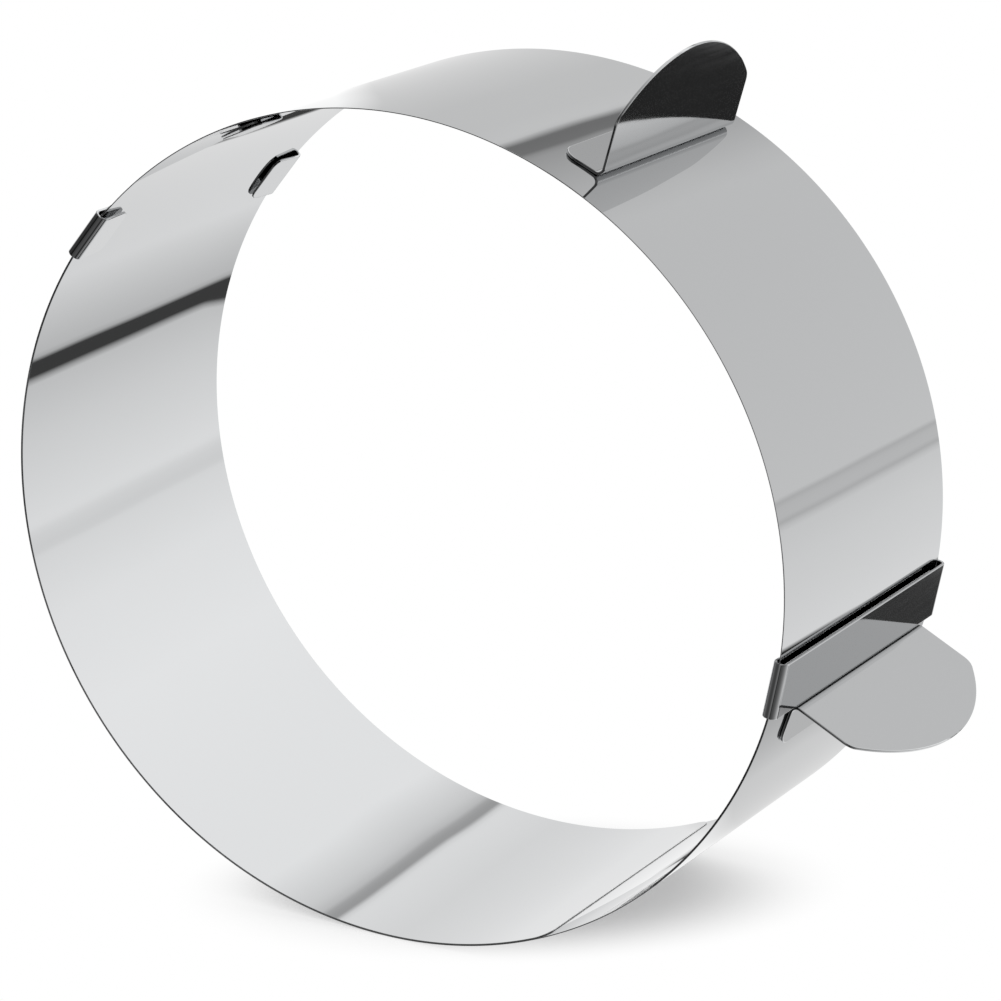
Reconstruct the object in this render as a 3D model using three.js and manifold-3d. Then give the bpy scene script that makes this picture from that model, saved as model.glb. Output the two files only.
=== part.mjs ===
// Adjustable cake ring, in millimetres, lying flat with its axis along +Z.
// Two bands of springy stainless strip are nested and slide round each other, so that
// the ring opens and closes. The long inner band carries the upper handle. The shorter
// outer band carries the lower handle and, beside it, a fixed sleeve that the inner band
// runs through. A loose sleeve near the outer band's far end also hooks over both rims.
import * as THREE from "three";
import { mergeVertices } from "three/addons/utils/BufferGeometryUtils.js";
import Module from "manifold-3d";

const wasm = await Module();
wasm.setup();

// Ring
const insideDiameter = 200;
const bandHeight = 82;
const bandSheet = 0.4;
const bandCornerRadius = 4;
const bandClearance = 0.3;

// Lengths along the middle of a strip: the outer band, the space between the handles, the
// lap of the inner band behind the lower handle and the space between the inner band's ends
const outerBandLength = 380;
const handleSpacingLength = 135;
const innerBandLapLength = 67;
const innerBandGapLength = 19;

// Handles
const handleSheet = 0.7;
const handleWidth = 63;
const handleHeight = 26.9;
const handleSideHeight = 14.4;
const handleCornerRadius = 3.9;
const handleLean = THREE.MathUtils.degToRad(11.7);
const footDepth = 10.3;
const footCornerRadius = 4;
const bendRadius = 1.2;
const weldSeat = 0.3;

// Sleeves
const sleeveSheet = 0.6;
const sleeveWidth = 14.8;
const sleeveCavity = 2.8;
const sleeveLipLength = 9;
const sleeveLipClearance = 0.3;
const sleeveRimClearance = 0.3;
const sleeveHandleClearance = 0.3;
const sleeveTabMargin = 1.5;
const looseSleeveInsetLength = 9.7;

// Smoothness of curves
const facetAngle = THREE.MathUtils.degToRad(2.5);
const cornerSteps = 6;
const arcSegments = 10;
const crownSegments = 24;
const cutOverrun = 3;

// Radii of the two nested bands
const innerBandRadius = insideDiameter / 2;
const innerBandMiddle = innerBandRadius + bandSheet / 2;
const innerBandFace = innerBandRadius + bandSheet;
const outerBandRadius = innerBandFace + bandClearance;
const outerBandMiddle = outerBandRadius + bandSheet / 2;
const outerBandFace = outerBandRadius + bandSheet;

// Angles round the axis, zero halfway between the two handles
const sleeveTab = sleeveHandleClearance + sleeveWidth - sleeveTabMargin;
const handleAngle = handleSpacingLength / 2 / outerBandMiddle;
const outerBandStart = -handleAngle + (sleeveTab - outerBandLength) / outerBandMiddle;
const innerBandStart = -handleAngle - innerBandLapLength / innerBandMiddle;
const innerBandLength = 2 * Math.PI * innerBandMiddle - innerBandGapLength;
const sleeveHalfAngle = sleeveWidth / 2 / outerBandFace;
const fixedSleeveAngle = -handleAngle + sleeveHandleClearance / outerBandFace + sleeveHalfAngle;
const looseSleeveAngle = outerBandStart + looseSleeveInsetLength / outerBandMiddle;

// A sleeve is straight while the bands are round, so over its width the bands stray
// from its middle line by a sagitta. Its curls are centred on both bands together.
const sleeveSagitta = (sleeveWidth * sleeveWidth) / (8 * innerBandRadius);
const sleeveLipFace = innerBandRadius - sleeveSagitta - sleeveLipClearance;
const sleeveMiddle = (innerBandRadius - sleeveSagitta + outerBandFace) / 2;
const sleeveStray = outerBandFace - sleeveMiddle;
const curlRadius = sleeveCavity / 2;
const curlOutside = curlRadius + sleeveSheet;
const curlCentre = Math.sqrt(curlRadius * curlRadius - sleeveStray * sleeveStray) - sleeveRimClearance;
const sleeveOverhang = curlOutside - curlCentre;

// Finishes
const polishedSteel = () =>
  new THREE.MeshStandardMaterial({ color: 0xd2d3d4, roughness: 0.12, metalness: 1 });
const satinSteel = () =>
  new THREE.MeshStandardMaterial({ color: 0xc0c1c2, roughness: 0.25, metalness: 1 });

// A geometry as a solid that can be cut, and back again
function toSolid(geometry) {
  const bare = geometry.clone();
  bare.deleteAttribute("normal");
  bare.deleteAttribute("uv");
  const merged = mergeVertices(bare);
  return new wasm.Manifold(
    new wasm.Mesh({
      numProp: 3,
      vertProperties: new Float32Array(merged.attributes.position.array),
      triVerts: new Uint32Array(merged.index.array),
    })
  );
}

function fromSolid(solid) {
  const mesh = solid.getMesh();
  const geometry = new THREE.BufferGeometry();
  geometry.setAttribute("position", new THREE.BufferAttribute(mesh.vertProperties, 3));
  geometry.setIndex(new THREE.BufferAttribute(mesh.triVerts, 1));
  return geometry;
}

// A strip with rounded corners, bent round the axis from a start angle.
// Each station along the strip is a section of four corners: inner low, outer low,
// outer high, inner high. The rounding of an end is a quarter circle in the flat strip.
function bentStrip(radius, start, length) {
  const middle = radius + bandSheet / 2;
  const straight = length - 2 * bandCornerRadius;
  const straightSteps = Math.ceil(straight / middle / facetAngle);
  const stations = [];
  for (let i = 0; i <= cornerSteps; i++) {
    const turn = ((i / cornerSteps) * Math.PI) / 2;
    stations.push([bandCornerRadius * (1 - Math.cos(turn)), bandCornerRadius * (1 - Math.sin(turn))]);
  }
  for (let i = 1; i < straightSteps; i++) {
    stations.push([bandCornerRadius + (straight * i) / straightSteps, 0]);
  }
  for (let i = cornerSteps; i >= 0; i--) {
    const turn = ((i / cornerSteps) * Math.PI) / 2;
    stations.push([
      length - bandCornerRadius * (1 - Math.cos(turn)),
      bandCornerRadius * (1 - Math.sin(turn)),
    ]);
  }

  const places = [];
  for (const [along, trim] of stations) {
    const angle = start + along / middle;
    const across = [
      [radius, trim],
      [radius + bandSheet, trim],
      [radius + bandSheet, bandHeight - trim],
      [radius, bandHeight - trim],
    ];
    for (const [r, z] of across) {
      places.push(r * Math.cos(angle), r * Math.sin(angle), z);
    }
  }

  const corners = 4;
  const triangles = [];
  for (let i = 0; i + 1 < stations.length; i++) {
    for (let k = 0; k < corners; k++) {
      const a = i * corners + k;
      const b = i * corners + ((k + 1) % corners);
      triangles.push(a, a + corners, b + corners, a, b + corners, b);
    }
  }
  const last = (stations.length - 1) * corners;
  triangles.push(0, 1, 2, 0, 2, 3);
  triangles.push(last, last + 2, last + 1, last, last + 3, last + 2);

  const geometry = new THREE.BufferGeometry();
  geometry.setAttribute("position", new THREE.Float32BufferAttribute(places, 3));
  geometry.setIndex(triangles);
  return geometry;
}

// Section of a handle: a flat foot along +X, a bend, and a plate that leans over the foot
function handleSection() {
  const outside = bendRadius + handleSheet;
  const turn = Math.PI / 2 + handleLean;
  const bendEnd = -Math.PI / 2 - turn;
  const rise = handleHeight + outside;
  const away = new THREE.Vector2(Math.cos(bendEnd), Math.sin(bendEnd));
  const up = new THREE.Vector2(Math.sin(handleLean), Math.cos(handleLean));
  const centre = new THREE.Vector2(outside, outside);
  const outerTip = centre.clone().addScaledVector(away, outside).addScaledVector(up, rise);
  const innerTip = centre.clone().addScaledVector(away, bendRadius).addScaledVector(up, rise);
  const section = new THREE.Shape();
  section.moveTo(footDepth, 0);
  section.lineTo(outside, 0);
  section.absarc(outside, outside, outside, -Math.PI / 2, bendEnd, true);
  section.lineTo(outerTip.x, outerTip.y);
  section.lineTo(innerTip.x, innerTip.y);
  section.absarc(outside, outside, bendRadius, bendEnd, -Math.PI / 2, false);
  section.lineTo(footDepth, handleSheet);
  section.closePath();
  return section;
}

// Outline of the plate seen square on: straight sides, rounded shoulders and a wide crown
function plateOutline() {
  const half = handleWidth / 2;
  const rise = handleHeight - handleSideHeight;
  const crownRadius = (half * half + rise * rise) / (2 * rise);
  const crownCentre = handleHeight - crownRadius;
  const reach = crownRadius - handleCornerRadius;
  const shoulderX = half - handleCornerRadius;
  const shoulderY = crownCentre + Math.sqrt(reach * reach - shoulderX * shoulderX);
  const shoulderTurn = Math.atan2(shoulderY - crownCentre, shoulderX);
  const outline = new THREE.Shape();
  outline.moveTo(-half, -cutOverrun);
  outline.lineTo(half, -cutOverrun);
  outline.absarc(shoulderX, shoulderY, handleCornerRadius, 0, shoulderTurn, false);
  outline.absarc(0, crownCentre, crownRadius, shoulderTurn, Math.PI - shoulderTurn, false);
  outline.absarc(-shoulderX, shoulderY, handleCornerRadius, Math.PI - shoulderTurn, Math.PI, false);
  outline.closePath();
  return outline;
}

// Outline of the foot seen from above, open on the plate's side
function footOutline() {
  const half = handleWidth / 2;
  const outline = new THREE.Shape();
  outline.moveTo(-cutOverrun, -half);
  outline.lineTo(footDepth - footCornerRadius, -half);
  outline.absarc(
    footDepth - footCornerRadius, -half + footCornerRadius, footCornerRadius, -Math.PI / 2, 0, false
  );
  outline.absarc(
    footDepth - footCornerRadius, half - footCornerRadius, footCornerRadius, 0, Math.PI / 2, false
  );
  outline.lineTo(-cutOverrun, half);
  outline.closePath();
  return outline;
}

// The bent sheet is its section drawn across the handle's width, cut by the two outlines.
// Local X runs along the band away from the plate, Y outwards and Z along the ring's axis.
function handleGeometry() {
  const sheet = new THREE.ExtrudeGeometry(handleSection(), {
    depth: handleWidth,
    bevelEnabled: false,
    curveSegments: arcSegments,
  });
  sheet.translate(0, 0, -handleWidth / 2);

  const reach = footDepth + handleHeight;
  const plateCut = new THREE.ExtrudeGeometry(plateOutline(), {
    depth: 2 * reach,
    bevelEnabled: false,
    curveSegments: crownSegments,
  });
  plateCut.translate(0, 0, -reach);
  plateCut.rotateY(Math.PI / 2);
  plateCut.rotateZ(-handleLean);

  const footCut = new THREE.ExtrudeGeometry(footOutline(), {
    depth: 2 * reach,
    bevelEnabled: false,
    curveSegments: arcSegments,
  });
  footCut.translate(0, 0, -reach);
  footCut.rotateX(-Math.PI / 2);

  return fromSolid(toSolid(sheet).intersect(toSolid(plateCut)).intersect(toSolid(footCut)));
}

// A handle on a band's face. Its foot runs towards rising angles for side 1, or falling for -1.
function placedHandle(side, bandFace) {
  const geometry = handleGeometry();
  const footMiddle = handleAngle + footDepth / 2 / bandFace;
  geometry.translate(-footDepth / 2, bandFace + weldSeat, bandHeight / 2);
  geometry.rotateZ(-Math.PI / 2);
  if (side > 0) {
    geometry.rotateX(Math.PI);
    geometry.translate(0, 0, bandHeight);
  }
  geometry.rotateZ(side * footMiddle);
  return geometry;
}

// Section of a sleeve in radius and height: a flat plate outside, a round curl over each
// rim, and a lip inside that slopes towards the band until it almost touches it.
function sleeveSection() {
  const low = curlCentre;
  const high = bandHeight - curlCentre;
  const lipBack = sleeveLipFace - sleeveSheet;
  const section = new THREE.Shape();
  section.moveTo(sleeveMiddle + curlOutside, low);
  section.absarc(sleeveMiddle, high, curlOutside, 0, Math.PI, false);
  section.lineTo(lipBack, high - sleeveLipLength);
  section.lineTo(sleeveLipFace, high - sleeveLipLength);
  section.absarc(sleeveMiddle, high, curlRadius, Math.PI, 0, true);
  section.absarc(sleeveMiddle, low, curlRadius, 0, -Math.PI, true);
  section.lineTo(sleeveLipFace, low + sleeveLipLength);
  section.lineTo(lipBack, low + sleeveLipLength);
  section.absarc(sleeveMiddle, low, curlOutside, Math.PI, 2 * Math.PI, false);
  section.closePath();
  return section;
}

// A sleeve is straight along its width, square to the radius at its middle
function sleeveGeometry(angle) {
  const geometry = new THREE.ExtrudeGeometry(sleeveSection(), {
    depth: sleeveWidth,
    bevelEnabled: false,
    curveSegments: arcSegments,
  });
  geometry.translate(0, 0, -sleeveWidth / 2);
  geometry.rotateX(Math.PI / 2);
  geometry.rotateZ(angle);
  return geometry;
}

function part(name, geometry, material) {
  const mesh = new THREE.Mesh(geometry, material);
  mesh.name = name;
  return mesh;
}

const ring = new THREE.Group();
ring.add(
  part("inner_band", bentStrip(innerBandRadius, innerBandStart, innerBandLength), polishedSteel()),
  part("outer_band", bentStrip(outerBandRadius, outerBandStart, outerBandLength), polishedSteel()),
  part("upper_handle", placedHandle(1, innerBandFace), satinSteel()),
  part("lower_handle", placedHandle(-1, outerBandFace), satinSteel()),
  part("fixed_sleeve", sleeveGeometry(fixedSleeveAngle), satinSteel()),
  part("loose_sleeve", sleeveGeometry(looseSleeveAngle), satinSteel())
);

// The origin lies on the ring's axis, on the surface that the sleeves' curls stand on
ring.position.z = sleeveOverhang;
ring.updateMatrixWorld(true);

export default ring;
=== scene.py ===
# %% [markdown]
# # An adjustable cake ring in polished stainless steel
#
# The object is made of bent sheet and nothing else: two nested bands, two handles and two
# sleeves. So this lesson needs one good way to make bent sheet, and one good steel. The
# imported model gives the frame: every piece below lies where its solid lies, in metres.

import math

import bmesh
import bpy
import numpy as np
from mathutils import Matrix, Vector


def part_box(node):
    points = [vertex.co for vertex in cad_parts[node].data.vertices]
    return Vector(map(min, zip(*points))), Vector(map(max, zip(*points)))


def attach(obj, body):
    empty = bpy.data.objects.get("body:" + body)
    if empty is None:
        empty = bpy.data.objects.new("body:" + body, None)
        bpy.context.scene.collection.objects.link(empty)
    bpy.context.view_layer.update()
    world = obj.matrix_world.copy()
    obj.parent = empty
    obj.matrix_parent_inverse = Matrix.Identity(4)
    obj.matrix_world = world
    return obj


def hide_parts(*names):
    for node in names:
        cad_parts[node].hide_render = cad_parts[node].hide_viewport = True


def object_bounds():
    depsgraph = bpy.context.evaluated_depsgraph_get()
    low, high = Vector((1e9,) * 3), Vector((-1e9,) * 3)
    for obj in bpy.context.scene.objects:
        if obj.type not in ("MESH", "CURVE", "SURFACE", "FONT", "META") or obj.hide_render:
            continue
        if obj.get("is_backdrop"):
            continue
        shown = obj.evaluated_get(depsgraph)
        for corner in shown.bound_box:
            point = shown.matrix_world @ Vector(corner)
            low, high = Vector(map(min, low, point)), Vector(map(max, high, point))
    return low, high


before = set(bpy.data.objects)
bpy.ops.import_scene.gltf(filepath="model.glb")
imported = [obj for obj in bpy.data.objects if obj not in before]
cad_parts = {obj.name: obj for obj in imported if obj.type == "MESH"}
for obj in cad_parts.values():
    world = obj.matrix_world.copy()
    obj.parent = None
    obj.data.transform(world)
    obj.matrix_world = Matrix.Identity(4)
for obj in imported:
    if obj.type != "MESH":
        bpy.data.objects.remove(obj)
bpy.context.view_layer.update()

# %% [markdown]
# ## Sizes
#
# The ring is set to 200 mm inside. Sizes are written in millimetres, as a maker would
# read them from a drawing, and turned into metres in one place. The height of the bands
# and the level of their lower rim come from the frame. The bands are springy strip, so
# they are thin and lie close on each other.

# %% Sizes of the bands
# The inner band starts a lap beyond the lower handle, and it stops a gap before its own
# start. The outer band covers both of its ends.
MM = 0.001

band_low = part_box("inner_band")[0][2] / MM
band_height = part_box("inner_band")[1][2] / MM - band_low
band_level = band_low + band_height / 2
inside_diameter = 200.0
band_sheet = 0.25
band_clearance = 0.03
band_corner = 4.0
band_edge = 0.08
outer_length = 380.0
inner_lap = 57.0
inner_gap = 30.0

inner_middle = inside_diameter / 2 + band_sheet / 2
inner_face = inner_middle + band_sheet / 2
outer_middle = inner_face + band_clearance + band_sheet / 2
outer_face = outer_middle + band_sheet / 2
print("band height", round(band_height, 2), "mm, lower rim at", round(band_low, 2), "mm")

# %% Sizes of the handles
# The level is measured up from the middle of the bands, and the handles stand a little
# below it. The lower plate is slightly larger than the upper one, as in the photograph.
handle_sheet = 0.7
handle_edge = 0.2
handle_spacing = 133.3
handle_lean = math.radians(10.2)
handle_level = -1.9
handle_shoulder = 3.9
foot_depth = 11.2
foot_corner = 4.0
bend_radius = 1.2
weld_seat = 0.05
upper_width = 61.5
upper_height = 26.9
upper_side_height = 14.0
lower_width = 64.3
lower_height = 27.9
lower_side_height = 15.9
print("handles", handle_spacing, "mm apart along the outer band")

# %% Sizes of the sleeves
# The tab margin is how far inside the fixed sleeve the outer band ends, and the inset is
# how far the loose sleeve's middle lies from the outer band's other end.
sleeve_sheet = 0.6
sleeve_edge = 0.18
sleeve_width = 13.6
sleeve_corner = 2.5
sleeve_cavity = 2.3
sleeve_lip = 9.0
lip_clearance = 0.3
rim_clearance = 0.3
handle_clearance = 0.2
tab_margin = 1.5
loose_inset = 12.0
print("sleeves", sleeve_width, "mm wide")

# %% Angles round the axis, zero halfway between the handles
handle_angle = handle_spacing / 2 / outer_middle
sleeve_tab = handle_clearance + sleeve_width - tab_margin
outer_start = -handle_angle + (sleeve_tab - outer_length) / outer_middle
inner_start = -handle_angle - inner_lap / inner_middle
inner_length = 2 * math.pi * inner_middle - inner_gap
fixed_sleeve_angle = -handle_angle + (handle_clearance + sleeve_width / 2) / outer_face
loose_sleeve_angle = outer_start + loose_inset / outer_middle
print("handles at plus and minus", round(math.degrees(handle_angle), 1), "degrees")

# %% [markdown]
# ## One way to make every bent sheet
#
# A bent sheet has a flat outline, the blank that a press cuts, and a bend, which carries
# the blank into space. So each piece here is three small things: the outline of one half
# of the blank (the sheets are all symmetrical), a fold that says where each place along
# the blank goes, and a thickness. The rim of the sheet gets a small round all the way,
# because a cut edge is always dressed, and that round is what catches the light.

# %% Arcs, outward directions and the rim of a blank
CORNER_STEPS = 9
EDGE_STEPS = 3


def arc(centre_s, centre_w, radius, start, end, steps=CORNER_STEPS):
    """Points of an arc in the blank: centre plus radius times cosine and sine of the angle."""
    angle = np.linspace(start, end, steps)
    return np.stack([centre_s + radius * np.cos(angle), centre_w + radius * np.sin(angle)], 1)


def outline_normals(outline):
    """Outward normal at each outline point: the chord between its neighbours, turned a quarter."""
    chord = np.gradient(outline, axis=0)
    chord /= np.linalg.norm(chord, axis=1)[:, None]
    return np.stack([-chord[:, 1], chord[:, 0]], 1)


def rim_section(sheet, edge):
    """How far each point of the rim's section lies in from the outline, and its height in the
    sheet: a quarter round above, the cut face, and a quarter round below."""
    turn = np.linspace(0, math.pi / 2, EDGE_STEPS)
    inset = edge * (1 - np.sin(turn))
    height = sheet / 2 - edge * (1 - np.cos(turn))
    return np.concatenate([inset, inset[::-1]]), np.concatenate([height, -height[::-1]])


print("a sheet's rim has", len(rim_section(handle_sheet, handle_edge)[0]), "points")

# %% Faces and mesh
SHARP = math.radians(16)


def sheet_faces(rows, columns):
    """Quads from each loop of points to the next, and a strip of quads over each end loop."""
    index = np.arange(rows * columns).reshape(rows, columns)
    after = np.roll(index, -1, axis=1)
    walls = np.stack([index[:-1], index[1:], after[1:], after[:-1]], 2).reshape(-1, 4)
    near = np.arange(columns // 2 - 1)
    far = columns - 1 - near
    across = np.stack([near, near + 1, far - 1, far], 1)
    return np.concatenate([walls, index[0][across], index[-1][across]])


def make_piece(name, places, faces):
    """A piece with its place in its mesh and its faces pointing out, smooth except where the
    surface turns by more than the sharp angle."""
    mesh = bpy.data.meshes.new(name)
    mesh.from_pydata(places.tolist(), [], faces.tolist())
    worker = bmesh.new()
    worker.from_mesh(mesh)
    bmesh.ops.recalc_face_normals(worker, faces=worker.faces)
    worker.to_mesh(mesh)
    worker.free()
    mesh.shade_smooth()
    mesh.set_sharp_from_angle(angle=SHARP)
    piece = bpy.data.objects.new(name, mesh)
    bpy.context.scene.collection.objects.link(piece)
    print(name, len(mesh.vertices), "points,", len(mesh.polygons), "faces")
    return piece


# %% Bent sheet
def bent_sheet(name, outline, fold, sheet, edge):
    """A closed sheet. Each outline point gives a loop: the rim's section on one side and its
    mirror image on the other. fold(s, w, b) gives the place of a point at length s and
    width w of the blank, b above its middle."""
    inset, height = rim_section(sheet, edge)
    normal = outline_normals(outline)
    s = outline[:, :1] - normal[:, :1] * inset
    w = outline[:, 1:] - normal[:, 1:] * inset
    b = np.broadcast_to(height, s.shape)
    s_loop = np.concatenate([s, s[:, ::-1]], 1)
    w_loop = np.concatenate([w, -w[:, ::-1]], 1)
    b_loop = np.concatenate([b, b[:, ::-1]], 1)
    places = fold(s_loop, w_loop, b_loop).reshape(-1, 3) * MM
    return make_piece(name, places, sheet_faces(*s_loop.shape))


# %% [markdown]
# ## The bands
#
# Each band is a long blank with a rounded corner at each end, rolled to a circle. The fold
# is the simplest one there is: length becomes an angle, width becomes height, and the
# middle of the sheet lies on the radius. A step of under a degree keeps the reflections
# of a mirror finish smooth, and each band still has only a few thousand faces.

# %% Outline and fold of a band
BAND_STEP = math.radians(0.8)


def band_outline(length):
    """Half of a strip with rounded ends: a quarter round, a straight side, a quarter round."""
    half = band_height / 2
    centre = half - band_corner
    last = length - band_corner
    steps = int((length - 2 * band_corner) / inner_middle / BAND_STEP)
    side = np.linspace(band_corner, last, steps)[1:-1]
    straight = np.stack([side, np.full(len(side), half)], 1)
    start = arc(band_corner, centre, band_corner, math.pi, math.pi / 2)
    end = arc(last, centre, band_corner, math.pi / 2, 0)
    return np.concatenate([start, straight, end])


def rolled(radius, start):
    """Fold: angle is start plus length over radius, height is the middle plus the width."""

    def fold(s, w, b):
        angle = start + s / radius
        across = radius + b
        return np.stack([across * np.cos(angle), across * np.sin(angle), band_level + w], -1)

    return fold


# %% Bands
inner_outline = band_outline(inner_length)
inner_roll = rolled(inner_middle, inner_start)
inner_band = bent_sheet("inner_strip", inner_outline, inner_roll, band_sheet, band_edge)
outer_outline = band_outline(outer_length)
outer_roll = rolled(outer_middle, outer_start)
outer_band = bent_sheet("outer_strip", outer_outline, outer_roll, band_sheet, band_edge)
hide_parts("inner_band")
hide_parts("outer_band")
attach(inner_band, "inner")
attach(outer_band, "outer")

# %% [markdown]
# ## Folding along a bent profile
#
# Handles and sleeves are folded along a profile of straight runs and arcs. Heading is the
# key: along a straight run it stays, and along an arc it turns evenly. From the heading
# come both the place, by adding up small steps, and the direction across the sheet.

# %% Profile of straight runs and arcs
PROFILE_STEPS = 65


def profile(start, heading, runs):
    """A function from length to place and heading, and the whole length. Each run is (length,
    turn): along it the heading turns evenly, and the place is the sum of steps along it."""
    lengths, places, headings = [0.0], [np.array(start, float)], [heading]
    for length, turn in runs:
        share = np.linspace(0, 1, PROFILE_STEPS)[1:]
        turned = headings[-1] + turn * share
        middle = turned - turn / len(share) / 2
        chord = length / len(share)
        steps = np.stack([np.cos(middle), np.sin(middle)], 1) * chord
        places.extend(places[-1] + np.cumsum(steps, axis=0))
        lengths.extend(lengths[-1] + length * share)
        headings.extend(turned)
    lengths, places, headings = np.array(lengths), np.array(places), np.array(headings)

    def at(s):
        x = np.interp(s, lengths, places[:, 0])
        y = np.interp(s, lengths, places[:, 1])
        return x, y, np.interp(s, lengths, headings)

    return at, lengths[-1]


# %% [markdown]
# ## The handles
#
# A handle is one sheet of 0.7 mm: a narrow foot that is spot welded to its band, a tight
# bend, and a plate with straight sides, rounded shoulders and a wide crown for the thumb.
# It leans over its own foot by some ten degrees. The upper handle belongs to the inner
# band and the lower one to the outer band.

# %% Profile of a handle
# The plate's run is longer than either plate, so that both outlines fit on the profile.
plate_run = 60.0
handle_bend = bend_radius + handle_sheet / 2
handle_outside = bend_radius + handle_sheet
handle_turn = math.pi / 2 + handle_lean
foot_run = foot_depth - handle_outside
bend_run = handle_bend * handle_turn
handle_at = profile(
    (foot_depth, handle_sheet / 2),
    math.pi,
    [(foot_run, 0), (bend_run, -handle_turn), (plate_run, 0)],
)[0]
bend_end = np.array([handle_outside, handle_outside]) + handle_bend * np.array(
    [-math.cos(handle_lean), math.sin(handle_lean)]
)
bend_height = float(bend_end @ [math.sin(handle_lean), math.cos(handle_lean)])
print("a handle's bend ends", round(bend_height, 2), "mm up its plate")

# %% Outline of a handle
# A row of points lies this far from each end of a bend, so that the smooth shading of the
# bend stays in the bend. The crown stops a little short of its top, where the halves meet.
SUPPORT = 0.2
FOOT_STEPS = 3
BEND_STEPS = 14
CROWN_STEPS = 40
crown_tip = math.radians(1)


def handle_outline(width, height, side_height):
    """Half of the blank from the foot's end to the crown: a corner, the side, the shoulder and
    the crown, which is an arc through the top of the plate and both shoulders."""
    half = width / 2
    rise = height - side_height
    crown = (half**2 + rise**2) / (2 * rise)
    shoulder_w = half - handle_shoulder
    reach = crown - handle_shoulder
    shoulder_turn = math.acos(shoulder_w / reach)
    crown_s = foot_run + bend_run + height - bend_height - crown
    shoulder_s = crown_s + reach * math.sin(shoulder_turn)
    crown_start = math.pi / 2 - shoulder_turn
    side = np.concatenate(
        [
            np.linspace(foot_corner, foot_run - SUPPORT, FOOT_STEPS)[1:],
            np.linspace(foot_run, foot_run + bend_run, BEND_STEPS),
            [foot_run + bend_run + SUPPORT],
        ]
    )
    straight = np.stack([side, np.full(len(side), half)], 1)
    corner = arc(foot_corner, half - foot_corner, foot_corner, math.pi, math.pi / 2)
    shoulder = arc(shoulder_s, shoulder_w, handle_shoulder, math.pi / 2, crown_start)
    crown_arc = arc(crown_s, 0, crown, crown_start, crown_tip, CROWN_STEPS)[1:]
    return np.concatenate([corner, straight, shoulder, crown_arc])


# %% Fold of a handle
def handle_fold(side, band_face):
    """Fold: the profile lies in the plane of the radius and the tangent, with the foot's middle
    at its own angle. side is 1 where the foot runs towards rising angles and -1 where not."""
    middle = side * (handle_angle + foot_depth / 2 / band_face)
    outward = np.array([math.cos(middle), math.sin(middle)])
    along = np.array([-math.sin(middle), math.cos(middle)]) * side

    def fold(s, w, b):
        x, y, heading = handle_at(s)
        x = x - b * np.sin(heading) - foot_depth / 2
        y = y + b * np.cos(heading) + band_face + weld_seat
        flat = outward * y[..., None] + along * x[..., None]
        return np.concatenate([flat, (band_level + handle_level + w)[..., None]], -1)

    return fold


# %% Handles
fittings = []
for node, body, side, band_face, width, height, side_height in (
    ("upper_handle", "inner", 1, inner_face, upper_width, upper_height, upper_side_height),
    ("lower_handle", "outer", -1, outer_face, lower_width, lower_height, lower_side_height),
):
    outline = handle_outline(width, height, side_height)
    fold = handle_fold(side, band_face)
    piece = bent_sheet(node + "_sheet", outline, fold, handle_sheet, handle_edge)
    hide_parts(node)
    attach(piece, body)
    fittings.append(piece)

# %% [markdown]
# ## The sleeves
#
# A sleeve is a flat plate that lies outside the bands, rolled round both rims, with a short
# lip inside that springs back towards the band. The plate is flat and the band is round,
# so the band bulges into the sleeve by the sagitta of its width. The profile is worked out
# from the middle of the plate to one lip, and the other half is its mirror image.

# %% Profile of a sleeve
# The bands stray from the middle of the cavity to both sides, and their rims stop short of
# the curls by the clearance. The lip slopes until its face is a clearance off the band.
sagitta = sleeve_width**2 / (4 * inside_diameter)
lip_face = inside_diameter / 2 - sagitta - lip_clearance
sleeve_middle = (inside_diameter / 2 - sagitta + outer_face) / 2
stray = outer_face - sleeve_middle
curl = sleeve_cavity / 2
curl_middle = curl + sleeve_sheet / 2
curl_centre = math.sqrt(curl**2 - stray**2) - rim_clearance
lip_slope = math.asin((lip_face - sleeve_sheet / 2 - sleeve_middle + curl_middle) / sleeve_lip)
plate_half = band_height / 2 - curl_centre
curl_run = curl_middle * (math.pi + lip_slope)
sleeve_at, sleeve_run = profile(
    (sleeve_middle + curl_middle, 0),
    -math.pi / 2,
    [(plate_half, 0), (curl_run, -math.pi - lip_slope), (sleeve_lip, 0)],
)
print("half a sleeve's blank is", round(sleeve_run, 2), "mm long")

# %% Outline and fold of a sleeve
SLEEVE_CORNER_STEPS = 5
CURL_STEPS = 22
PLATE_STEPS = 9


def sleeve_outline():
    """Half of a plain strip with small corners, with stations close together in the curls."""
    half = sleeve_width / 2
    centre_s = sleeve_corner - sleeve_run
    centre_w = half - sleeve_corner
    quarter = math.pi / 2
    corner = arc(centre_s, centre_w, sleeve_corner, math.pi, quarter, SLEEVE_CORNER_STEPS)
    far = plate_half + curl_run
    side = np.concatenate(
        [
            [-far - SUPPORT],
            np.linspace(-far, -plate_half, CURL_STEPS),
            np.linspace(SUPPORT - plate_half, plate_half - SUPPORT, PLATE_STEPS),
            np.linspace(plate_half, far, CURL_STEPS),
            [far + SUPPORT],
        ]
    )
    straight = np.stack([side, np.full(len(side), half)], 1)
    last = corner[::-1] * [-1, 1]
    return np.concatenate([corner, straight, last])


def sleeve_fold(middle):
    """Fold: the profile gives radius and height, its mirror image the other half, and the width
    runs straight along the tangent."""
    outward = np.array([math.cos(middle), math.sin(middle)])
    along = np.array([-math.sin(middle), math.cos(middle)])

    def fold(s, w, b):
        r, z, heading = sleeve_at(np.abs(s))
        r = r - b * np.sin(heading)
        z = (z + b * np.cos(heading)) * np.sign(s)
        flat = outward * r[..., None] + along * w[..., None]
        return np.concatenate([flat, (band_level + z)[..., None]], -1)

    return fold


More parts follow.
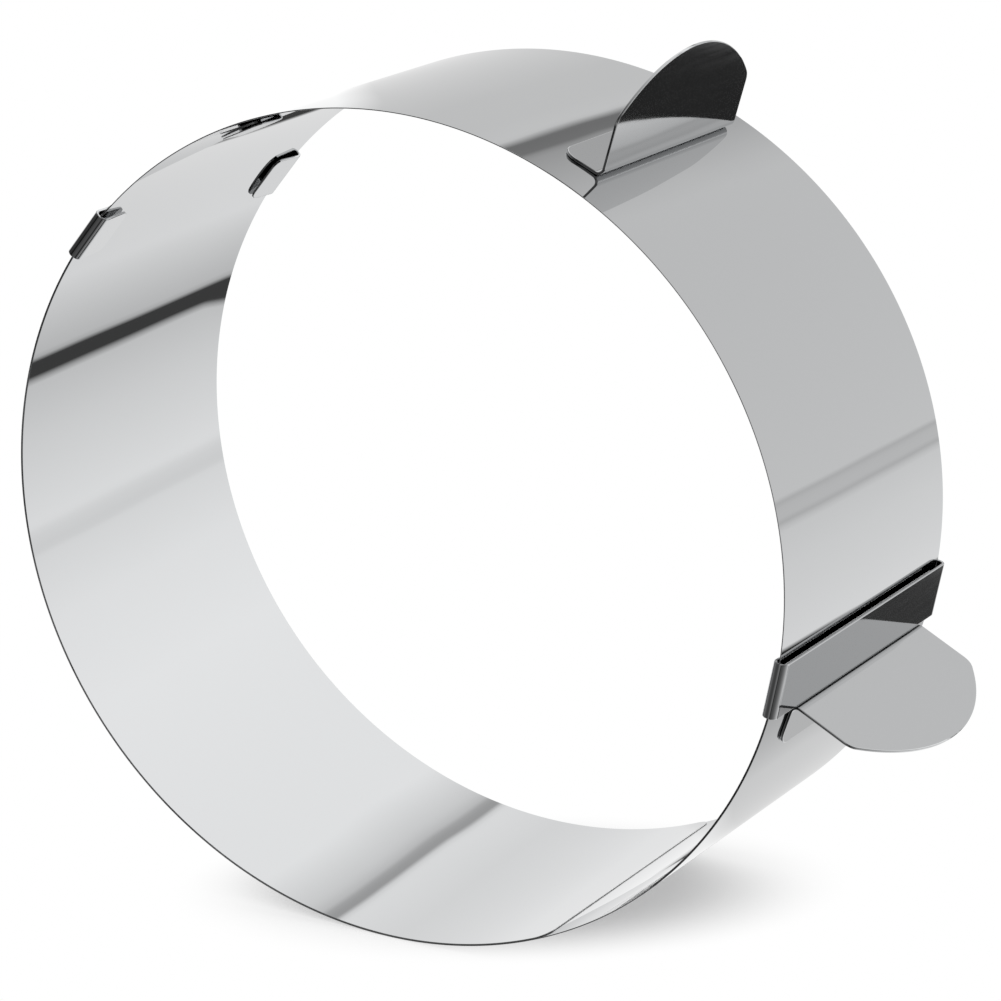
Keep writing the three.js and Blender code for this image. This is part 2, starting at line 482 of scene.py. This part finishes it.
# %% Sleeves
for node, body, angle in (
    ("fixed_sleeve", "outer", fixed_sleeve_angle),
    ("loose_sleeve", "sleeve", loose_sleeve_angle),
):
    outline = sleeve_outline()
    fold = sleeve_fold(angle)
    piece = bent_sheet(node + "_sheet", outline, fold, sleeve_sheet, sleeve_edge)
    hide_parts(node)
    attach(piece, body)
    fittings.append(piece)

# %% [markdown]
# ## The sag of a ring on its edge
#
# The photograph shows the ring standing on its rim like a wheel. Such thin bands sag under
# their own weight: the ring is some four per cent wider than it is high. The solids are
# round, as the ring is when it lies flat. One lattice gives every piece the sag, and
# because it stays still while the bands turn, they keep to one oval at every pose.

# %% Sag
# The lattice is a box in metres that is larger than the ring at any pose.
SAG = 0.0186
sag_box = 0.6
sag_long_axis = math.radians(157.16)
lattice_data = bpy.data.lattices.new("sag")
lattice_data.points_u = lattice_data.points_v = lattice_data.points_w = 2
lattice_data.interpolation_type_u = "KEY_LINEAR"
lattice_data.interpolation_type_v = "KEY_LINEAR"
lattice_data.interpolation_type_w = "KEY_LINEAR"
for point in lattice_data.points:
    x, y, z = point.co
    point.co_deform = (x * (1 + SAG), y * (1 - SAG), z)
sag = bpy.data.objects.new("sag", lattice_data)
sag.rotation_euler = (0, 0, sag_long_axis)
sag.scale = (sag_box, sag_box, sag_box)
bpy.context.scene.collection.objects.link(sag)
for piece in (inner_band, outer_band, *fittings):
    bend = piece.modifiers.new("sag", "LATTICE")
    bend.object = sag
print("the ring is", round(100 * ((1 + SAG) / (1 - SAG) - 1), 1), "per cent wider than high")

# %% [markdown]
# ## Steel
#
# All pieces are austenitic stainless steel sheet. The bands are mirror polished, so they
# show the room more than themselves, with only a faint waviness from rolling. Handles and
# sleeves are bright but pressed, so they are a little softer. A metal has no colour of its
# own but that of its reflection, so the colour here is how much light the steel gives
# back, except that the bands' sheared ends are painted paler than the steel, as a painted
# highlight.

# %% Colour and node helpers
# Short names for the kinds of node that this lesson uses most.
MATH = "ShaderNodeMath"
VECTOR = "ShaderNodeVectorMath"
NOISE = "ShaderNodeTexNoise"
RANGE = "ShaderNodeMapRange"
MIX = "ShaderNodeMix"


def srgb(code):
    """Linear colour from a hex code: each channel by the sRGB curve."""
    channels = [int(code[i : i + 2], 16) / 255 for i in (0, 2, 4)]
    linear = [c / 12.92 if c <= 0.04045 else ((c + 0.055) / 1.055) ** 2.4 for c in channels]
    return (*linear, 1)


def add(tree, kind, *first, **named):
    """One node of a kind. What stands in first goes to its inputs in their order. In named, a
    name in small letters is a setting, and one with a capital is an input. An input gets a
    value, a link from a socket, or a link from a node's first output that is in use."""
    node = tree.nodes.new(kind)
    for name, value in named.items():
        if name.islower():
            setattr(node, name, value)
    in_use = [socket for socket in node.inputs if socket.enabled]
    by_name = {socket.name: socket for socket in in_use}
    pairs = list(zip(in_use, first))
    pairs += [(by_name[n.replace("_", " ")], v) for n, v in named.items() if not n.islower()]
    for socket, value in pairs:
        if isinstance(value, bpy.types.Node):
            value = next(output for output in value.outputs if output.enabled)
        if isinstance(value, bpy.types.NodeSocket):
            tree.links.new(value, socket)
        else:
            socket.default_value = value
    return node


STEEL_COLOUR = "B6B7B8"
# The sheared edge's colour is paler than the steel's: painted light, a painted highlight on the
# bands' shaded end faces.
STEEL_EDGE_PAINTED_HIGHLIGHT_COLOUR = "E6E6E6"
steel_grey = srgb(STEEL_COLOUR)[0]
print("the steel gives back", round(steel_grey, 2), "of the light")

# %% Steel
# The belt that polishes leaves lines finer than a pixel. They are drawn 0.9 mm apart, and
# stretched along the height of the bands, so that they just soften the reflections.
belt_spacing = 0.9
belt_stretch = 0.06


def steel(name, colour, roughness, wave_mm, wave_height_mm, grain):
    """Stainless steel: the metal's colour and roughness, a long slow wave left by rolling, and a
    fine grain left by the polishing belt that only changes the roughness."""
    material = bpy.data.materials.new(name)
    material.use_nodes = True
    tree = material.node_tree
    tree.nodes.clear()
    place = add(tree, "ShaderNodeTexCoord").outputs["Object"]
    wave = add(tree, NOISE, Vector=place, Scale=1 / (wave_mm * MM), Detail=1.0)
    bump = add(tree, "ShaderNodeBump", Height=wave, Distance=wave_height_mm * MM, Strength=1.0)
    stretched = add(tree, "ShaderNodeMapping", Vector=place, Scale=(1.0, 1.0, belt_stretch))
    belt = add(tree, NOISE, Vector=stretched, Scale=1 / (belt_spacing * MM), Detail=3.0)
    least = roughness * (1 - grain)
    most = roughness * (1 + grain)
    rough = add(tree, RANGE, Value=belt, To_Min=least, To_Max=most)
    shader = add(
        tree,
        "ShaderNodeBsdfPrincipled",
        Base_Color=srgb(colour),
        Metallic=1.0,
        Roughness=rough,
        Normal=bump,
    )
    add(tree, "ShaderNodeOutputMaterial", Surface=shader)
    print(name, "has a roughness of", roughness)
    return material


# %% Three finishes
# Mirror polish gives sharp reflections that wander a little. Pressed sheet is nearly as
# bright, and its reflections have softer edges. A sheared edge is rough, so it scatters the
# light evenly, and its colour is painted paler than the steel: a painted highlight that
# lightens the shaded end faces of the bands.
mirror_steel = steel(
    "mirror_polished_stainless_steel",
    STEEL_COLOUR,
    roughness=0.025,
    wave_mm=60,
    wave_height_mm=0.25,
    grain=0.3,
)
pressed_steel = steel(
    "bright_pressed_stainless_steel",
    STEEL_COLOUR,
    roughness=0.05,
    wave_mm=25,
    wave_height_mm=0.03,
    grain=0.4,
)
sheared_steel_painted_highlight = steel(
    "satin_sheared_steel_edge_painted_highlight",
    STEEL_EDGE_PAINTED_HIGHLIGHT_COLOUR,
    roughness=0.4,
    wave_mm=5,
    wave_height_mm=0.01,
    grain=0.4,
)

# %% Steel on the pieces
END_FACE_SINE = 0.5


def satin_ends_painted_highlight(piece):
    """Give the sheared end faces of a band its second material, rough steel with a painted
    highlight in a colour paler than the steel: those that face along the circle, where the
    sine of the angle between normal and radius is over a half."""
    faces = piece.data.polygons
    normals = np.empty(len(faces) * 3, np.float32)
    centres = np.empty(len(faces) * 3, np.float32)
    faces.foreach_get("normal", normals)
    faces.foreach_get("center", centres)
    normals, centres = normals.reshape(-1, 3), centres.reshape(-1, 3)
    radius = centres[:, :2] / np.linalg.norm(centres[:, :2], axis=1)[:, None]
    along = radius[:, 0] * normals[:, 1] - radius[:, 1] * normals[:, 0]
    # These faces get the painted highlight: a colour paler than the steel.
    painted_highlight_satin = np.abs(along) > END_FACE_SINE
    faces.foreach_set("material_index", painted_highlight_satin.astype(np.int32))
    print(piece.name, "satin end faces:", int(painted_highlight_satin.sum()))


for piece in (inner_band, outer_band):
    piece.data.materials.append(mirror_steel)
    piece.data.materials.append(sheared_steel_painted_highlight)
    satin_ends_painted_highlight(piece)
for piece in fittings:
    piece.data.materials.append(pressed_steel)

# %% [markdown]
# ## Camera
#
# The camera is where the photograph was taken from: some 0.9 m away, seeing the front rim
# and a little of the outside, with the ring standing on its edge. The part itself stays
# lying flat in its own frame, so the camera is turned instead. Its place and directions
# were fitted to both rims.

# %% Camera
camera_place = Vector((517.6, 71.4, band_level + 748.4)) * MM
camera_up = Vector((0.2353, 0.9378, -0.2554))
forward = Vector((-0.56236, -0.08295, -0.82272)).normalized()
right = forward.cross(camera_up).normalized()
up = right.cross(forward)
camera_data = bpy.data.cameras.new("camera")
camera_data.sensor_width = 36
camera_data.lens = 139.0
camera = bpy.data.objects.new("camera", camera_data)
camera.matrix_world = Matrix(
    (
        (right.x, up.x, -forward.x, camera_place.x),
        (right.y, up.y, -forward.y, camera_place.y),
        (right.z, up.z, -forward.z, camera_place.z),
        (0, 0, 0, 1),
    )
)
bpy.context.scene.collection.objects.link(camera)
bpy.context.scene.camera = camera
camera_reach = (camera_place - Vector((0, 0, band_level)) * MM).length
print("the camera stands", round(camera_reach, 2), "m from the middle of the ring")

# %% [markdown]
# ## Studio
#
# Polished steel is only as good as the room round it. The room here is a soft light tent,
# drawn on the world by direction. Each wall is a row of pale sheets along the azimuth, with
# grey seams and dark gaps between them, and their places are chosen so that the steel shows
# them where the photograph has them. The outside of the ring mirrors the wall near the
# axis, the inside mirrors the wall round it, and further off stand large panels for the
# views from other sides. The camera and the floor see plain white instead.

# %% Walls, seams and gaps
# Each stop is an azimuth in degrees and the grey that the steel shows there. The shade of
# the room goes with the height instead, from straight up at -1 to straight down at 1.
TENT_OUTSIDE = [
    (-152, 165), (-120, 175), (-92, 150), (-88, 140), (-87.6, 45), (-83.9, 45), (-83.6, 150),
    (-81.5, 150), (-81.3, 32), (-75.2, 32), (-74.7, 200), (-49, 195), (-38.4, 190),
    (-37.2, 165), (-36, 165), (-35.2, 175), (-32.6, 175), (-31, 165), (-29.6, 185), (60, 180),
    (66, 175), (84, 150), (89.6, 140), (91.2, 105), (95.6, 100), (98.6, 180), (106, 175),
    (120, 170),
]
TENT_INSIDE = [
    (-178, 180), (-176.5, 45), (-155.3, 45), (-153.6, 180), (-109, 200), (-94, 185),
    (-84.6, 175), (-83.2, 55), (-78.1, 55), (-76.8, 185), (-60, 200), (-37, 215), (-34.4, 205),
    (-30, 200), (-28, 210), (-11, 220), (15, 225), (79, 220), (93.6, 195), (97, 180),
    (98.8, 150), (101.6, 145), (102.8, 205), (104.5, 210), (120, 200), (155, 200), (165, 195),
]
PANELS = [
    (-180, 215), (-150, 255), (-128, 250), (-123, 130), (-112, 110), (-107, 235), (-70, 255),
    (-40, 205), (-30, 120), (-25, 100), (-20, 225), (30, 255), (62, 235), (65, 150), (71, 150),
    (74, 240), (110, 255), (140, 180), (149, 90), (158, 85), (162, 215),
]
ROOM_SHADE = [
    (-1.0, 125), (-0.93, 115), (-0.87, 76), (-0.75, 70), (-0.5, 88), (-0.2, 115), (0.1, 155),
    (0.4, 195), (0.7, 215),
]
print("the tent has", len(TENT_OUTSIDE) + len(TENT_INSIDE), "stops, the room", len(PANELS))

# %% Angles of a direction
# The walls meet at these angles off the ring's axis, in degrees, with a soft join.
HALF_TURN = 180.0
FULL_TURN = 360.0
DEGREES = HALF_TURN / math.pi
inside_starts = 34.1
inside_full = 34.7
room_starts = 44.0
room_full = 50.0

world = bpy.data.worlds.new("studio")
bpy.context.scene.world = world
world.use_nodes = True
tree = world.node_tree
tree.nodes.clear()
direction = add(tree, "ShaderNodeTexCoord").outputs["Generated"]
split = add(tree, "ShaderNodeSeparateXYZ", direction)
downward = add(tree, MATH, split.outputs["Z"], -1.0, operation="MULTIPLY")
off_axis = add(tree, MATH, downward, operation="ARCCOSINE")
off_axis = add(tree, MATH, off_axis, DEGREES, operation="MULTIPLY")
azimuth = add(tree, MATH, split.outputs["Y"], split.outputs["X"], operation="ARCTAN2")
azimuth = add(tree, MATH, azimuth, DEGREES, operation="MULTIPLY")
height = add(tree, MATH, downward, 0.5, 0.5, operation="MULTIPLY_ADD")
print("the inside mirrors the tent from", inside_full, "to", room_starts, "degrees off the axis")


# %% Seams that lean, and a gap that opens
# One gap of the inside's wall opens by this many degrees towards the axis. The opening
# starts at one angle off the axis and is full at another. One side of the gap stays in
# place, because the opening falls to nothing there. Beyond the other side the opening
# fades out over the pale sheet.
gap_opening = 3.7
gap_starts = 37.6
gap_full = 36.7
gap_rise = (-64.0, -73.4)
gap_fall = (-83.0, -78.0)


def leaning(slant, middle):
    """Azimuth less the slant times how far the angle off the axis lies past the middle of the
    wall, so that the seams lean."""
    shift = add(tree, MATH, off_axis, -slant, slant * middle, operation="MULTIPLY_ADD")
    return add(tree, MATH, azimuth, shift, operation="ADD")


def opened(azimuth_here):
    """Azimuth less the opening of the gap: the full opening times the rise and the fall."""
    opening = add(
        tree, RANGE, Value=off_axis, From_Min=gap_starts, From_Max=gap_full, To_Max=gap_opening
    )
    rise = add(tree, RANGE, Value=azimuth_here, From_Min=gap_rise[0], From_Max=gap_rise[1])
    fall = add(tree, RANGE, Value=azimuth_here, From_Min=gap_fall[0], From_Max=gap_fall[1])
    weight = add(tree, MATH, rise, fall, operation="MULTIPLY")
    wider = add(tree, MATH, opening, weight, operation="MULTIPLY")
    return add(tree, MATH, azimuth_here, wider, operation="SUBTRACT")


def share_of_circle(azimuth_here):
    """Where an azimuth lies on a ramp: wrapped to half a circle either way, then 0 to 1."""
    turn = add(tree, MATH, azimuth_here, HALF_TURN, -HALF_TURN, operation="WRAP")
    return add(tree, MATH, turn, 1 / FULL_TURN, 0.5, operation="MULTIPLY_ADD")


print("one gap opens by", gap_opening, "degrees")


# %% Colour ramps of the walls
# A slant is how many degrees a seam moves along the azimuth for each degree off the axis.
outside_slant = 1.0
outside_middle = 30.2
inside_slant = 1.3
inside_middle = 38.0
panel_slant = 0.4
panel_middle = 90.0
outside_azimuth = leaning(outside_slant, outside_middle)
inside_azimuth = opened(leaning(inside_slant, inside_middle))
panel_azimuth = leaning(panel_slant, panel_middle)
colours = []
for stops, factor, low, high in (
    (TENT_OUTSIDE, share_of_circle(outside_azimuth), -HALF_TURN, HALF_TURN),
    (TENT_INSIDE, share_of_circle(inside_azimuth), -HALF_TURN, HALF_TURN),
    (PANELS, share_of_circle(panel_azimuth), -HALF_TURN, HALF_TURN),
    (ROOM_SHADE, height, -1, 1),
):
    wall = add(tree, "ShaderNodeValToRGB", Fac=factor)
    elements = wall.color_ramp.elements
    elements.remove(elements[-1])
    for i, (value, grey) in enumerate(stops):
        place = (value - low) / (high - low)
        element = elements[0] if i == 0 else elements.new(place)
        element.position = place
        element.color = srgb(f"{grey:02X}" * 3)
    colours.append(wall)
outside, inside, panels, shade = colours
print("ramps made:", len(colours))

# %% World
# A stop's grey is what the steel shows, so the tent's light is stronger by as much as the
# steel takes away.
step = add(tree, RANGE, Value=off_axis, From_Min=inside_starts, From_Max=inside_full)
tent = add(tree, MIX, data_type="RGBA", Factor=step, A=outside, B=inside)
room = add(tree, MIX, data_type="RGBA", blend_type="MULTIPLY", Factor=1.0, A=shade, B=panels)
step = add(tree, RANGE, Value=off_axis, From_Min=room_starts, From_Max=room_full)
around = add(tree, MIX, data_type="RGBA", Factor=step, A=tent, B=room)
tent_light = add(tree, "ShaderNodeBackground", Color=around, Strength=1 / steel_grey)
plain_light = add(tree, "ShaderNodeBackground", Color=(1, 1, 1, 1), Strength=1.0)
glossy = add(tree, "ShaderNodeLightPath").outputs["Is Glossy Ray"]
either = add(tree, "ShaderNodeMixShader", glossy, plain_light, tent_light)
add(tree, "ShaderNodeOutputWorld", Surface=either)
print("the tent shines with strength", round(1 / steel_grey, 2))

# %% [markdown]
# ## Floor
#
# The floor touches the ring's lowest side in the photograph's pose, so in the part's own
# frame it stands upright. Its back is clear, so that it hides nothing in other views. It is
# white paper that takes the ring's shadow, but the camera sees this shadow only in a soft
# oval patch beside the ring's lowest place, where the photograph keeps it, and pure white
# round the patch.

# %% Where the floor lies
# The sag's long axis lies level, so the floor's normal is a quarter turn from it.
floor_up = math.radians(67.16)
floor_normal = Vector((math.cos(floor_up), math.sin(floor_up), 0))
floor_reach = 0.9


def lowest_along(direction_angle):
    """Distance from the axis to the sagged outer band's tangent, square to a direction."""
    turn = direction_angle - sag_long_axis
    return outer_face * MM * math.hypot((1 + SAG) * math.cos(turn), (1 - SAG) * math.sin(turn))


floor_drop = lowest_along(floor_up)
sideways = Vector((-floor_normal.y, floor_normal.x, 0))
corners = [
    -floor_normal * floor_drop + sideways * a * floor_reach + Vector((0, 0, b * floor_reach))
    for a, b in ((-1, -1), (-1, 1), (1, 1), (1, -1))
]
floor_mesh = bpy.data.meshes.new("floor")
floor_mesh.from_pydata([tuple(c) for c in corners], [], [(0, 1, 2, 3)])
if floor_mesh.polygons[0].normal.dot(floor_normal) < 0:
    floor_mesh.flip_normals()
floor = bpy.data.objects.new("floor", floor_mesh)
bpy.context.scene.collection.objects.link(floor)
floor.visible_glossy = False
floor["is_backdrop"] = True
print("the floor lies", round(floor_drop / MM, 2), "mm from the axis")

# %% Patch of shadow
# The patch is an ellipse. Its long axis is given sideways and along the ring's axis, and
# its depth fades from the core to the rim, both as shares of the half sizes.
shadow_side = -10.0
shadow_axis = (0.824, 0.566)
shadow_half_length = 75.0
shadow_half_width = 42.6
shadow_core = 0.5
shadow_rim = 1.12
shadow_depth = 0.72

paper = bpy.data.materials.new("white_paper_floor")
paper.use_nodes = True
tree = paper.node_tree
tree.nodes.clear()
place = add(tree, "ShaderNodeTexCoord").outputs["Object"]
middle = sideways * (shadow_side * MM) + Vector((0, 0, band_level * MM))
offset = add(tree, VECTOR, place, middle, operation="SUBTRACT")
squares = []
for along, across, reach in (
    (shadow_axis[0], shadow_axis[1], shadow_half_length),
    (-shadow_axis[1], shadow_axis[0], shadow_half_width),
):
    axis = (sideways * along + Vector((0, 0, across))) / (reach * MM)
    share = add(tree, VECTOR, offset, axis, operation="DOT_PRODUCT")
    squares.append(add(tree, MATH, share, 2.0, operation="POWER"))
distance = add(tree, MATH, add(tree, MATH, *squares, operation="ADD"), operation="SQRT")
depth = add(
    tree,
    RANGE,
    interpolation_type="SMOOTHSTEP",
    Value=distance,
    From_Min=shadow_core,
    From_Max=shadow_rim,
    To_Min=shadow_depth,
    To_Max=0.0,
)
print("the patch of shadow is", 2 * shadow_half_length, "mm long")

# %% Paper
# Only camera rays see the patch. To all other rays the paper is plain white.
white = add(tree, "ShaderNodeBsdfDiffuse", Color=(1, 1, 1, 1))
bright = add(tree, "ShaderNodeEmission", Color=(1, 1, 1, 1), Strength=1.0)
seen = add(tree, "ShaderNodeLightPath").outputs["Is Camera Ray"]
unseen = add(tree, MATH, 1.0, seen, operation="SUBTRACT")
paper_share = add(tree, MATH, depth, unseen, operation="MAXIMUM")
shaded = add(tree, "ShaderNodeMixShader", paper_share, bright, white)
clear = add(tree, "ShaderNodeBsdfTransparent")
behind = add(tree, "ShaderNodeNewGeometry").outputs["Backfacing"]
sided = add(tree, "ShaderNodeMixShader", behind, shaded, clear)
add(tree, "ShaderNodeOutputMaterial", Surface=sided)
floor_mesh.materials.append(paper)
print("floor material", paper.name)

bpy.context.scene.view_settings.view_transform = "Standard"
low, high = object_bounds()
print("visual box", tuple(low), tuple(high))
